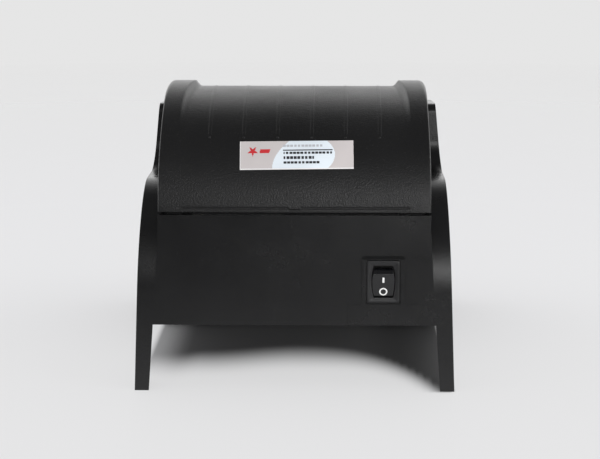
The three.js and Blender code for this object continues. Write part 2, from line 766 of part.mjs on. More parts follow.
const CHEEKPLATE = { near: 34.6, far: 35.8 };
const WEB = { y0: -22, y1: -20.8, z0: 67.2, z1: 80 };

function chassis() {
  const outline = polygon([
    [-30, 44],
    [BAY.front - BAY.wall - GAP, 44],
    [BAY.front - BAY.wall - GAP, 66],
    [PLATEN.y - 5.6, 68],
    [PLATEN.y - 8, WEB.z1],
    [WEB.y0, WEB.z1],
    [WEB.y0 - 1.5, 70],
    [-30, 62],
  ]);
  const plates = SIDES.map(([, side]) => onSide(side, outline, CHEEKPLATE.near, CHEEKPLATE.far));
  const web = box(-CHEEKPLATE.far, CHEEKPLATE.far, WEB.y0, WEB.y1, WEB.z0, WEB.z1);
  const tie = box(-CHEEKPLATE.far, CHEEKPLATE.far, -30, BAY.front - BAY.wall - GAP, 44, 45.2);
  const holes = [
    rodX(1.8, 30, 40, IDLER.y, IDLER.z, 16),
    rodX(3, 30, 40, MOTOR.y, MOTOR.z, 16),
    rodX(1.8, LATCH_PIN.x0 - 1, LATCH_PIN.x1 + 1, LATCH.y, LATCH.z, 16),
  ];
  return cut(join(...plates, web, tie), ...holes);
}

const HEAD = { face: PLATEN.y - PLATEN.r - GAP, half: 27 };

function printHead() {
  const f = HEAD.face;
  place("thermal_head", box(-HEAD.half, HEAD.half, f - 0.7, f, 70, 80), ceramic);
  const plate = box(-30, 30, f - 4.2, f - 0.7 - GAP, 66, 81);
  const fins = [-24, -12, 0, 12, 24].map((x) => box(x - 1, x + 1, f - 6.6, f - 4, 67, 80));
  place("head_heatsink", join(plate, ...fins), aluminium);
  SIDES.forEach(([label, side]) => {
    const start = WEB.y1 + 0.6;
    const coil = spring(1.8, 0.35, f - 4.2 - 0.6 - start, 4, Y, [side * 18, start, 75]);
    place(`head_spring_${label}`, coil, steel);
  });
}

const MOTOR_BODY = { r: 10, x0: 14, x1: CHEEKPLATE.near - GAP };

function drive() {
  const can = rodX(MOTOR_BODY.r, MOTOR_BODY.x0, MOTOR_BODY.x1, MOTOR.y, MOTOR.z, 28);
  const bore = rodX(1.4, 27, 40, MOTOR.y, MOTOR.z, 16);
  place("stepper_motor", cut(can, bore), steel);
  place("motor_shaft", rodX(1, 27.4, GEAR.x1 + 0.6, MOTOR.y, MOTOR.z, 16), steel);
  const post = join(
    rodX(1.5, CHEEKPLATE.near - 1, GEAR.x1 + 1.2, IDLER.y, IDLER.z, 16),
    rodX(2.6, CHEEKPLATE.near - 1.1, CHEEKPLATE.near - GAP, IDLER.y, IDLER.z, 16),
    rodX(2.6, GEAR.x1 + GAP, GEAR.x1 + 1.3, IDLER.y, IDLER.z, 16),
  );
  place("idler_post", post, steel);
  gears();
}

function platen() {
  const { y, z, r, half } = PLATEN;
  place("platen_shaft", rodX(2, -35, GEAR.x1 + 0.8, y, z, 20), steel);
  const sleeve = cut(rodX(r, -half, half, y, z, 32), rodX(2.3, -half - 1, half + 1, y, z, 20));
  place("platen_roller", sleeve, rubber);
  SIDES.forEach(([label, side]) => {
    const [near, far] = [EAR.near - 0.9, EAR.far + 0.7];
    const ring = (radius, a, b) =>
      rodX(radius, Math.min(side * a, side * b), Math.max(side * a, side * b), y, z, 16);
    const bush = join(ring(BUSH.r, near, far), ring(4.4, near, EAR.near - GAP));
    place(`platen_bushing_${label}`, cut(bush, ring(2.3, near - 1, far + 1)), innerBlack);
  });
}

// ---------------------------------------------------------------- cover latch
const LATCH = { y: -23.5, z: 66, tabX0: 38.6, x0: 42.6, tabX1: 44.2 };
const LATCH_PIN = { x0: CHEEKPLATE.near + 0.1, x1: 44.6 };
const NOSE_Y = -3.4; // just in front of the cover's end wall

// Bell crank: a finger tab through the panel beside the right cheek, and a nose at the cover.
function latchLever() {
  const { y, z } = LATCH;
  const thumb = polygon([
    [y - 2.4, z + 13],
    [y - 2.8, z + 20],
    [y - 5.6, z + 19],
    [y - 5.4, z + 12],
  ]);
  const crank = polygon([
    [y - 3, z - 3],
    [y + 3, z - 3],
    [NOSE_Y, z - 1],
    [NOSE_Y, z + 5],
    [y + 3, z + 3],
    [y - 2.4, z + 13],
    [y - 2.8, z + 20],
    [y - 5.6, z + 19],
    [y - 5.4, z + 12],
  ]);
  const body = alongX(crank, LATCH.x0, LATCH.tabX1);
  const tab = alongX(thumb, LATCH.tabX0, LATCH.x0 + 0.4);
  return cut(join(body, tab), rodX(1.8, LATCH.x0 - 1, LATCH.tabX1 + 1, y, z, 16));
}

function latch() {
  place("latch_lever", latchLever(), shellBlack);
  place("latch_pin", rodX(1.5, LATCH_PIN.x0, LATCH_PIN.x1, LATCH.y, LATCH.z, 16), steel);
}

// ---------------------------------------------------------------- electronics
function electronics() {
  const top = BOARD.z + BOARD.thick;
  const board = box(-BOARD.half, BOARD.half, BOARD.y0, BOARD.y1, BOARD.z, top);
  place("main_board", board, boardGreen);
  PORTS.forEach(({ name, x, w, h }) => {
    const base = top + GAP;
    const shell = box(x - w / 2, x + w / 2, -36, PORT_WALL_Y - 0.4, base, base + h);
    const mouth = box(x - w / 2 + 1, x + w / 2 - 1, -30, PORT_WALL_Y + 1, base + 1.2, base + h - 1.2);
    const tongue = box(x - 1.6, x + 1.6, -31, PORT_WALL_Y - 2, base + h / 2 - 0.8, base + h / 2 + 0.8);
    place(name, join(cut(shell, mouth), tongue), name === "usb_socket" ? steel : innerBlack);
  });
  place("capacitor", rodZ(5, -22, -52, top + GAP, top + 15, 24), innerBlack);
  place("driver_chip", box(-15, -2, -58, -44, top + GAP, top + 2.4), innerBlack);
  place("head_cable", headCable(), whitePlastic);
}

// Flat cable from the board up to the back of the print head.
function headCable() {
  const lowZ = BOARD.z + BOARD.thick + 1;
  const s = new THREE.Shape();
  const t = 0.5;
  s.moveTo(-48, lowZ);
  s.lineTo(-44, lowZ);
  s.bezierCurveTo(-30, lowZ, -36, 40, -33, 60);
  s.bezierCurveTo(-31, 66, -26, 64, -19.4, 64);
  s.lineTo(-19.4, 64 + t);
  s.bezierCurveTo(-26, 64 + t, -31.6, 66 + t, -33.6, 60);
  s.bezierCurveTo(-36.6, 40, -30.6, lowZ + t, -44, lowZ + t);
  s.lineTo(-48, lowZ + t);
  s.closePath();
  return alongX(s, 3.5, 14, 6);
}

function paperSensor() {
  const y1 = BAY.front - BAY.wall - GAP;
  return join(box(-5, 5, y1 - 4, y1, 56, 64), box(-3, 3, y1 - 3, y1 - 1, 64, 66));
}

// ---------------------------------------------------------------- power switch
const BEZEL = { face: BACK + 0.8, opening: 10.9, w: 7.8 };
const ROCKER = { w: 7, pivotY: BACK - 3.6, proud: 75 };

function switchHousing() {
  const { x, z, bezelW, bezelH, bodyW, bodyH } = SWITCH;
  const bezel = alongY(roundedRectangle(x, z, bezelW, bezelH, 0.6), BACK + GAP, BEZEL.face, 3);
  const body = box(
    x - bodyW / 2,
    x + bodyW / 2,
    BACK - 12,
    BACK + 0.5,
    z - bodyH / 2,
    z + bodyH / 2,
  );
  const well = box(
    x - BEZEL.w / 2,
    x + BEZEL.w / 2,
    BACK - 9.5,
    BACK + 3,
    z - BEZEL.opening / 2,
    z + BEZEL.opening / 2,
  );
  const slots = [-3, 3].map((dz) =>
    box(x - 2.7, x + 2.7, BACK - 13, BACK - 9, z + dz - 0.7, z + dz + 0.7),
  );
  return cut(join(bezel, body), well, ...slots);
}

// Off at rest: the upper end stands proud and the lower end is pressed in.
function switchRocker() {
  const { z } = SWITCH;
  const s = new THREE.Shape();
  s.moveTo(ROCKER.proud, z + 2.65);
  s.quadraticCurveTo(ROCKER.proud - 0.7, z + 4.2, BACK - 0.4, z + 4.45);
  s.lineTo(BACK - 4, z + 4.2);
  s.lineTo(ROCKER.pivotY - 2.4, z + 1.5);
  s.lineTo(ROCKER.pivotY - 2.4, z - 1.5);
  s.lineTo(BACK - 4.2, z - 3.4);
  s.lineTo(BACK + 0.1, z - 4.9);
  s.closePath();
  return alongX(s, SWITCH.x - ROCKER.w / 2, SWITCH.x + ROCKER.w / 2, 6);
}

function powerSwitch() {
  place("switch_housing", switchHousing(), innerBlack);
  place("switch_rocker", switchRocker(), shellBlack);
  [3, -3].forEach((dz, i) => {
    const { x, z } = SWITCH;
    const blade = box(x - 2.4, x + 2.4, BACK - 16, BACK - 9.8, z + dz - 0.4, z + dz + 0.4);
    place(`switch_terminal_${i + 1}`, blade, steel);
  });
}

// ---------------------------------------------------------------- assembly
place("main_housing", mainHousing(), shellBlack);
place("bottom_cover", bottomCover(), shellBlack);
SCREWS.forEach(({ y, z }, i) => {
  SIDES.forEach(([label, side]) => {
    place(`bottom_screw_${label}_${i + 1}`, screw(side * SCREW_X, y, z), steel);
  });
});
FEET.forEach(({ name, y }) => {
  SIDES.forEach(([label, side]) => {
    place(`rubber_foot_${name}_${label}`, foot(side * FOOT.x, y), rubber);
  });
});
place("front_cover", frontCover(), shellBlack);
controls();
place("tear_bar", tearBar(), steel);
place("paper_cover", paperCover(), shellBlack);
place("cover_liner", coverLiner(), innerBlack);
place("cover_label", coverLabel(), labelGrey);
hingeParts();
place("paper_bay", paperBay(), innerBlack);
place("mech_chassis", chassis(), steel);
printHead();
drive();
platen();
latch();
electronics();
place("paper_sensor", paperSensor(), innerBlack);
powerSwitch();

export default printer;
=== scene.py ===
"""Looks of a desktop receipt printer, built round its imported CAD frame. Metres, rear towards +Y."""

import json
import math

import bmesh
import bpy
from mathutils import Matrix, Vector


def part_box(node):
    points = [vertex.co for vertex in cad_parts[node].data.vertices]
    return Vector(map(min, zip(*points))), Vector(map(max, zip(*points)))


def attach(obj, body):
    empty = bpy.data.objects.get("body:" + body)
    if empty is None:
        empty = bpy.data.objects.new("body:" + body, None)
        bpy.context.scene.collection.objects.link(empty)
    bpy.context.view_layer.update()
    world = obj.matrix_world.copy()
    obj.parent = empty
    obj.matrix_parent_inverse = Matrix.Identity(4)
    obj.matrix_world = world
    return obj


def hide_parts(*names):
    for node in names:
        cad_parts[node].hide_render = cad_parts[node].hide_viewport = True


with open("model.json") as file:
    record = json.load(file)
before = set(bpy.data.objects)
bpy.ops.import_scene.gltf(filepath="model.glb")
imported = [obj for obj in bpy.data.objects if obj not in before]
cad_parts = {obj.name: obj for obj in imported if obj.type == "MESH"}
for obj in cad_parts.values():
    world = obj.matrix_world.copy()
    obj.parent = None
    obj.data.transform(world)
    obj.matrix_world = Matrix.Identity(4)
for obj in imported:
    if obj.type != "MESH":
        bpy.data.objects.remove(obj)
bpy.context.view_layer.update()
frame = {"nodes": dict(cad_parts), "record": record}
nodes = frame["nodes"]
MM = 0.001


# ------------------------------------------------------------ places taken from the frame
housing_low, housing_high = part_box("main_housing")
cover_low, cover_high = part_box("paper_cover")
switch_low, switch_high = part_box("switch_housing")
BACK = housing_high.y - 1 * MM  # rear panel; the switch frame stands 1 mm proud of it
DOME_R = 42 * MM
DOME_Y = BACK - 44 * MM
DOME_Z = cover_high.z - DOME_R
DOME_HALF = cover_high.x
SEAM_TOP = cover_low.z - 0.15 * MM  # lower edge of the finer cover


# ------------------------------------------------------------ node materials
def new_material(name):
    material = bpy.data.materials.new(name)
    material.use_nodes = True
    tree = material.node_tree
    shader = tree.nodes["Principled BSDF"]
    return material, tree, shader


def add(tree, kind, **values):
    node = tree.nodes.new(kind)
    for key, value in values.items():
        if key in node.inputs:
            node.inputs[key].default_value = value
        else:
            setattr(node, key, value)
    return node


def noise(tree, coordinates, scale, detail=3.0, rough=0.5):
    node = add(tree, "ShaderNodeTexNoise")
    node.inputs["Scale"].default_value = scale
    node.inputs["Detail"].default_value = detail
    node.inputs["Roughness"].default_value = rough
    tree.links.new(coordinates, node.inputs["Vector"])
    return node.outputs["Fac"]


def remap(tree, value, low, high, to_low, to_high):
    node = add(tree, "ShaderNodeMapRange")
    for key, number in (
        ("From Min", low),
        ("From Max", high),
        ("To Min", to_low),
        ("To Max", to_high),
    ):
        node.inputs[key].default_value = number
    tree.links.new(value, node.inputs["Value"])
    return node.outputs["Result"]


def math_node(tree, operation, a, b):
    node = add(tree, "ShaderNodeMath", operation=operation)
    for socket, value in zip(node.inputs, (a, b)):
        if isinstance(value, (int, float)):
            socket.default_value = value
        else:
            tree.links.new(value, socket)
    return node.outputs["Value"]


def mix_colour(tree, factor, first, second):
    node = add(tree, "ShaderNodeMix", data_type="RGBA")
    tree.links.new(factor, node.inputs["Factor"])
    for socket, value in ((node.inputs["A"], first), (node.inputs["B"], second)):
        if isinstance(value, tuple):
            socket.default_value = (*value, 1)
        else:
            tree.links.new(value, socket)
    return node.outputs["Result"]


def mix_shader(tree, factor, first, second):
    node = add(tree, "ShaderNodeMixShader")
    for socket, value in zip(node.inputs, (factor, first, second)):
        tree.links.new(value, socket)
    return node.outputs[0]


def place_of(tree):
    return add(tree, "ShaderNodeTexCoord").outputs["Object"]


def bump(tree, shader, height, strength, distance):
    node = add(tree, "ShaderNodeBump")
    node.inputs["Strength"].default_value = strength
    node.inputs["Distance"].default_value = distance
    tree.links.new(height, node.inputs["Height"])
    tree.links.new(node.outputs["Normal"], shader.inputs["Normal"])


def moulded_plastic(name, colour, roughness, grain=0.3, grain_mm=0.45, dust=0.0):
    """Moulded plastic: spark-eroded grain, uneven gloss, faint colour drift and a little dust."""
    material, tree, shader = new_material(name)
    at = place_of(tree)
    drift = noise(tree, at, 22.0)
    darker = tuple(0.82 * c for c in colour)
    lighter = tuple(1.2 * c for c in colour)
    base = mix_colour(tree, remap(tree, drift, 0.35, 0.65, 0, 1), darker, lighter)
    if dust:
        specks = noise(tree, at, 2600.0, 0.0)
        patches = noise(tree, at, 60.0)
        amount = math_node(
            tree,
            "MULTIPLY",
            remap(tree, specks, 0.735, 0.78, 0, dust),
            remap(tree, patches, 0.4, 0.6, 0.15, 1),
        )
        base = mix_colour(tree, amount, base, (0.35, 0.35, 0.34))
    tree.links.new(base, shader.inputs["Base Color"])
    gloss = remap(tree, noise(tree, at, 35.0, 5.0, 0.6), 0.3, 0.7, roughness - 0.05, roughness + 0.06)
    tree.links.new(gloss, shader.inputs["Roughness"])
    shader.inputs["IOR"].default_value = 1.52
    if grain:
        bump(tree, shader, noise(tree, at, 1 / (grain_mm * MM), 2.0, 0.6), grain, 0.16 * MM)
    return material


def metal(name, colour, roughness, brush_axis=0, brushed=True):
    """Bright metal with drawing lines along one axis."""
    material, tree, shader = new_material(name)
    at = place_of(tree)
    shader.inputs["Metallic"].default_value = 1
    shader.inputs["Base Color"].default_value = (*colour, 1)
    stretch = add(tree, "ShaderNodeMapping")
    scale = [900.0, 900.0, 900.0]
    if brushed:
        scale[brush_axis] = 30.0
    stretch.inputs["Scale"].default_value = scale
    tree.links.new(at, stretch.inputs["Vector"])
    lines = noise(tree, stretch.outputs["Vector"], 1.0, 4.0, 0.6)
    rough = remap(tree, lines, 0.3, 0.7, roughness - 0.07, roughness + 0.1)
    tree.links.new(rough, shader.inputs["Roughness"])
    bump(tree, shader, lines, 0.15, 0.02 * MM)
    return material


def soft_rubber(name, colour):
    material, tree, shader = new_material(name)
    at = place_of(tree)
    shade = noise(tree, at, 120.0, 4.0)
    tree.links.new(
        mix_colour(tree, shade, colour, tuple(1.8 * c for c in colour)),
        shader.inputs["Base Color"],
    )
    shader.inputs["Roughness"].default_value = 0.78
    bump(tree, shader, noise(tree, at, 4000.0), 0.3, 0.05 * MM)
    return material


def circuit_board(name):
    """Green solder mask over a grid of copper tracks."""
    material, tree, shader = new_material(name)
    at = place_of(tree)
    tracks = add(tree, "ShaderNodeTexBrick")
    tracks.inputs["Scale"].default_value = 220.0
    tracks.inputs["Mortar Size"].default_value = 0.06
    tracks.inputs["Color1"].default_value = (0.012, 0.1, 0.035, 1)
    tracks.inputs["Color2"].default_value = (0.016, 0.13, 0.045, 1)
    tracks.inputs["Mortar"].default_value = (0.03, 0.22, 0.08, 1)
    tree.links.new(at, tracks.inputs["Vector"])
    tree.links.new(tracks.outputs["Color"], shader.inputs["Base Color"])
    shader.inputs["Roughness"].default_value = 0.32
    bump(tree, shader, tracks.outputs["Fac"], 0.3, 0.05 * MM)
    return material


def lens(name, colour):
    material, tree, shader = new_material(name)
    at = place_of(tree)
    shader.inputs["Base Color"].default_value = (*colour, 1)
    shader.inputs["Transmission Weight"].default_value = 0.35
    tree.links.new(
        remap(tree, noise(tree, at, 300.0), 0.3, 0.7, 0.1, 0.22), shader.inputs["Roughness"]
    )
    return material


shell_black = moulded_plastic("shell_black", (0.005, 0.005, 0.0054), 0.24, 0.3, 0.4, 0.03)
cover_black = moulded_plastic("cover_black", (0.0054, 0.0054, 0.0058), 0.32, 0.8, 0.5, 0.05)
inner_black = moulded_plastic("inner_black", (0.012, 0.012, 0.013), 0.5, 0.2, 0.8)
switch_black = moulded_plastic("switch_black", (0.011, 0.011, 0.012), 0.33, 0.25, 0.3)
rocker_black = moulded_plastic("rocker_black", (0.010, 0.010, 0.011), 0.42, 0.7, 0.35)
rocker_gloss = moulded_plastic("rocker_gloss", (0.004, 0.004, 0.005), 0.2, 0.1, 0.6)
gear_white = moulded_plastic("gear_white", (0.72, 0.7, 0.64), 0.4, 0.1, 0.8)
rubber_black = soft_rubber("rubber_black", (0.014, 0.014, 0.015))
steel = metal("steel", (0.56, 0.57, 0.58), 0.3)
blackened = metal("blackened_steel", (0.06, 0.06, 0.065), 0.4, brushed=False)
aluminium = metal("aluminium", (0.75, 0.76, 0.77), 0.36)
board_green = circuit_board("board_green")
ceramic = moulded_plastic("ceramic", (0.2, 0.17, 0.15), 0.18, 0.05, 1.0)
mark_white = moulded_plastic("mark_white", (0.78, 0.78, 0.77), 0.4, 0.0)
label_grey = moulded_plastic("label_grey", (0.5, 0.465, 0.46), 0.4, 0.0)
label_pale = moulded_plastic("label_pale", (0.66, 0.72, 0.77), 0.4, 0.0)
# Painted highlight where the label's left and lower edges catch the light.
label_edge_highlight = moulded_plastic("label_edge_highlight", (0.74, 0.73, 0.73), 0.4, 0.0)
label_rule = moulded_plastic("label_rule", (0.42, 0.43, 0.46), 0.35, 0.0)
label_ink = moulded_plastic("label_ink", (0.012, 0.012, 0.016), 0.35, 0.0)
label_red = moulded_plastic("label_red", (0.52, 0.018, 0.025), 0.35, 0.0)
green_lens = lens("green_lens", (0.05, 0.35, 0.12))
amber_lens = lens("amber_lens", (0.5, 0.16, 0.02))

SLOT_MATERIALS = {
    "shell": shell_black,
    "inner": inner_black,
    "switch": switch_black,
    "rubber": rubber_black,
    "steel": steel,
    "aluminium": aluminium,
    "gear": gear_white,
    "board": board_green,
    "ceramic": ceramic,
    "label": inner_black,
    "lens": green_lens,
    "amber_lens": amber_lens,
    "screw": blackened,
}


# ------------------------------------------------------------ finish of the CAD nodes
def soften(piece, width, segments=2, angle=30):
    """Flattens the facets into whole faces and rounds the sharp edges."""
    weld = piece.modifiers.new("weld", "WELD")
    weld.merge_threshold = 0.004 * MM
    flat = piece.modifiers.new("flat", "DECIMATE")
    flat.decimate_type = "DISSOLVE"
    flat.angle_limit = math.radians(0.5)
    bevel = piece.modifiers.new("round", "BEVEL")
    bevel.width = width
    bevel.segments = segments
    bevel.limit_method = "ANGLE"
    bevel.angle_limit = math.radians(angle)
    bevel.use_clamp_overlap = True
    bevel.harden_normals = True
    piece.data.shade_smooth()
    piece.modifiers.new("normals", "WEIGHTED_NORMAL").keep_sharp = True


EDGE_MM = {
    "main_housing": 0.4,
    "front_cover": 0.5,
    "bottom_cover": 0.4,
    "paper_bay": 0.4,
    "cover_liner": 0.3,
    "feed_button": 0.4,
    "latch_lever": 0.3,
    "switch_housing": 0.2,
    "switch_rocker": 0.25,
}

for entry in frame["record"]["subparts"]:
    piece = nodes[entry["node"]]
    piece.data.materials.clear()
    piece.data.materials.append(SLOT_MATERIALS[entry["material_slot"]])
    soften(piece, EDGE_MM.get(entry["node"], 0.1) * MM)


# ------------------------------------------------------------ mesh helpers
def make_piece(name, vertices, faces, materials, body, slot, replaces=(), face_material=None):
    """A mesh that rides on a CAD body; face_material names the material index of each face."""
    mesh = bpy.data.meshes.new(name)
    mesh.from_pydata([tuple(v) for v in vertices], [], faces)
    for material in materials:
        mesh.materials.append(material)
    if face_material:
        for polygon, index in zip(mesh.polygons, face_material):
            polygon.material_index = index
    shape = bmesh.new()
    shape.from_mesh(mesh)
    bmesh.ops.remove_doubles(shape, verts=shape.verts, dist=0.002 * MM)
    bmesh.ops.recalc_face_normals(shape, faces=shape.faces)
    shape.to_mesh(mesh)
    shape.free()
    mesh.shade_smooth()
    piece = bpy.data.objects.new(name, mesh)
    bpy.context.scene.collection.objects.link(piece)
    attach(piece, body)
    if replaces:
        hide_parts(*replaces)
    return piece


def round_edges(piece, width, segments=2, angle=40):
    bevel = piece.modifiers.new("round", "BEVEL")
    bevel.width = width
    bevel.segments = segments
    bevel.limit_method = "ANGLE"
    bevel.angle_limit = math.radians(angle)
    bevel.harden_normals = True
    piece.modifiers.new("normals", "WEIGHTED_NORMAL").keep_sharp = True


def sheet_faces(rows, width, start=0, flip=False, loop=False):
    """Quads over a grid of points numbered row by row; loop closes each row on itself."""
    faces = []
    for i in range(rows - 1):
        for j in range(width if loop else width - 1):
            a = start + i * width + j
            b = start + i * width + (j + 1) % width
            quad = (a, b, b + width, a + width)
            faces.append(quad[::-1] if flip else quad)
    return faces


def closed_shell(outer, inner):
    """Closes two matching grids of points, an outer and an inner skin, into one body."""
    rows, width = len(outer), len(outer[0])
    count = rows * width
    vertices = [p for row in outer for p in row] + [p for row in inner for p in row]
    faces = sheet_faces(rows, width) + sheet_faces(rows, width, count, flip=True)
    border = [j for j in range(width)]
    border += [i * width + width - 1 for i in range(1, rows)]
    border += [(rows - 1) * width + j for j in range(width - 2, -1, -1)]
    border += [i * width for i in range(rows - 2, 0, -1)]
    for a, b in zip(border, border[1:] + border[:1]):
        faces.append((b, a, a + count, b + count))
    return vertices, faces


def smoothstep(t):
    t = min(1.0, max(0.0, t))
    return t * t * (3 - 2 * t)


def soft_maximum(a, b, softness):
    return (a + b + math.sqrt((a - b) ** 2 + softness**2)) / 2


# ------------------------------------------------------------ paper cover
RECESS_DEPTH = 2 * MM
RECESS_FROM = 37
RECESS_TO = 80
FLARE_LOW = 39.2 * MM
FLARE_NARROWS = 3.4 * MM
FLARE_FROM = 42
FLARE_OVER = 48
FLARE_POWER = 2.3
RIM_SLOPE = 2.3 * MM
RIB_COUNT = 6
RIB_PITCH = 11.43 * MM
RIB_HALF = 0.62 * MM
RIB_EDGE = 0.2 * MM
RIB_HEIGHT = 0.09 * MM
RIB_END = 38
RIB_FADE = 2.0
CORNER_LOW_R = 0.5 * MM
CORNER_TOP_R = 2.4 * MM
CORNER_FROM = 58  # the end corners grow rounder over these degrees
CORNER_OVER = 32
END_TAPER = 0.5 * MM  # the cover is a little narrower above its lower edge
TAPER_FROM = 15
TAPER_OVER = 45
INNER_R = DOME_R - 3.8 * MM
END_WALL = 2 * MM
END_WALL_FRONT = DOME_Y + 40 * MM * math.cos(math.radians(141))
LIP_FROM = 128
LIP_SLOT_HALF = 31.6 * MM
LIP_TOP = 88.2 * MM
LIP_THICK = 2 * MM
LIP_FRONT_SIDE = DOME_Y - 41.7 * MM
LIP_FRONT_MIDDLE = DOME_Y - 35.5 * MM
GROOVE_HEIGHT = 1.35 * MM  # above the cover's lower edge
GROOVE_HALF = 39.2 * MM
GROOVE_DEPTH = 0.16 * MM
GROOVE_SPREAD = 0.3 * MM
GROOVE_END = 1.5 * MM
GROOVE_TO = 3 * MM  # no groove above this height
NOTCH_HALF = 2.3 * MM
NOTCH_DIP = 0.6 * MM
NOTCH_SIDE = 0.5 * MM
NOTCH_COLUMNS = (1.6, 1.8, 2.0, 2.2, 2.4, 2.8, 3.6)
BETWEEN_RIBS = (9.0, 11.4, 14.0, 20.0, 22.8, 25.6)
SEAM_ROWS = (0, 0.2, 0.45, 0.6, 0.75, 0.9, 1.05, 1.2, 1.35, 1.5, 1.65, 1.9, 2.4)
LIP_ROWS = (0.05, 0.1, 0.15, 0.2, 0.25, 0.3, 0.322, 0.34, 0.45, 0.6, 0.8, 0.96, 1)
WALL_STEPS = 6
SLOPE_COLUMNS_FROM = 30.2 * MM
SLOPE_COLUMNS_TO = 42 * MM


def recess_half_width(degrees):
    """Half width of the sunk band: it flares out as it runs down towards the rear."""
    t = min(1.0, max(0.0, (degrees - FLARE_FROM) / FLARE_OVER))
    return FLARE_LOW - FLARE_NARROWS * t**FLARE_POWER


def recess_depth(degrees, x):
    depth = RECESS_DEPTH * smoothstep((degrees - RECESS_FROM) / (RECESS_TO - RECESS_FROM))
    inside = min(1.0, max(0.0, (recess_half_width(degrees) - abs(x)) / RIM_SLOPE))
    return depth * math.sin(inside * math.pi / 2)


def rib_height(degrees, x):
    lane = (x / RIB_PITCH) % 1.0 - 0.5
    if abs(x) > RIB_COUNT / 2 * RIB_PITCH or degrees < RIB_END:
        return 0.0
    distance = abs(lane) * RIB_PITCH
    fade = smoothstep((degrees - RIB_END) / RIB_FADE)
    return RIB_HEIGHT * fade * smoothstep((RIB_HALF - distance) / RIB_EDGE)


def seam_groove(height, x):
    """Fine groove just above the cover's lower edge, dipping round a small notch in the middle."""
    dip = NOTCH_DIP * smoothstep((NOTCH_HALF - abs(x)) / NOTCH_SIDE)
    across = smoothstep((GROOVE_HALF - abs(x)) / GROOVE_END)
    inside = smoothstep(1.4 - abs(height - GROOVE_HEIGHT + dip) / GROOVE_SPREAD)
    return GROOVE_DEPTH * across * inside


def dome_height(radius, y):
    return DOME_Z + math.sqrt(max(0.0, radius**2 - (y - DOME_Y) ** 2))


def cover_columns():
    """Places across the cover: closer together over the rim slopes, the ribs and the slot."""
    half = {0.0}
    for i in range(RIB_COUNT // 2):
        centre = (i + 0.5) * RIB_PITCH
        for offset in (-0.9, -0.62, -0.52, -0.42, 0, 0.42, 0.52, 0.62, 0.9):
            half.add(round(centre + offset * MM, 7))
    x = SLOPE_COLUMNS_FROM
    while x < SLOPE_COLUMNS_TO:
        half.add(round(x, 7))
        x += 0.4 * MM
    half.update((LIP_SLOT_HALF - 0.05 * MM, LIP_SLOT_HALF + 0.05 * MM))
    half.update(value * MM for value in NOTCH_COLUMNS + BETWEEN_RIBS)
    flat_edge = DOME_HALF - END_TAPER - CORNER_TOP_R
    half.add((SLOPE_COLUMNS_TO + flat_edge) / 2)
    return sorted(half | {-x for x in half})


def cover_angles():
    """Angles round the dome, 0 at the rear, with closer rows near the seam and the rib ends."""
    rows = [math.degrees(math.asin((SEAM_TOP + h * MM - DOME_Z) / DOME_R)) for h in SEAM_ROWS]
    angle = 8.0
    while angle <= LIP_FROM:
        rows.append(angle)
        angle += 1.0 if 34 < angle < 46 else 2.0
    return rows


def cover_row(place, x):
    """Outer and inner (y, z) of the cover at a row place and a distance across."""
    kind, value = place
    if kind == "dome":
        a = math.radians(value)
        height = DOME_Z + DOME_R * math.sin(a) - SEAM_TOP
        radius = DOME_R - recess_depth(value, x) + rib_height(value, x)
        if height < GROOVE_TO:
            radius -= seam_groove(height, x)
        outer = (DOME_Y + radius * math.cos(a), DOME_Z + radius * math.sin(a))
        inner_a = max(a, math.asin((SEAM_TOP - DOME_Z) / INNER_R))
        inner = (DOME_Y + INNER_R * math.cos(inner_a), DOME_Z + INNER_R * math.sin(inner_a))
        return outer, inner
    radius = DOME_R - recess_depth(LIP_FROM, x) + rib_height(LIP_FROM, x)
    a = math.radians(LIP_FROM)
    front = LIP_FRONT_SIDE if abs(x) > LIP_SLOT_HALF else LIP_FRONT_MIDDLE
    start = DOME_Y + radius * math.cos(a)
    y = start + (front - start) * value
    outer = (y, soft_maximum(dome_height(radius, y), LIP_TOP, 0.9 * MM))
    inner_start = DOME_Y + INNER_R * math.cos(a)
    inner_y = y + (inner_start - start) * max(0.0, 1 - value / 0.3) ** 2
    inner = (inner_y, max(dome_height(INNER_R, inner_y), LIP_TOP - LIP_THICK))
    return outer, inner


def end_half(place):
    """Half width of the cover at a row place."""
    lean = smoothstep((place[1] - TAPER_FROM) / TAPER_OVER) if place[0] == "dome" else 1
    return DOME_HALF - END_TAPER * lean


def corner_radius(place):
    """Radius between the skin and the end wall at a row place."""
    kind, value = place
    rounder = smoothstep((value - CORNER_FROM) / CORNER_OVER) if kind == "dome" else 1 - value
    return CORNER_LOW_R + (CORNER_TOP_R - CORNER_LOW_R) * rounder


def wall_points(x, y, low, high):
    return [Vector((x, y, low + (high - low) * i / WALL_STEPS)) for i in range(WALL_STEPS)]


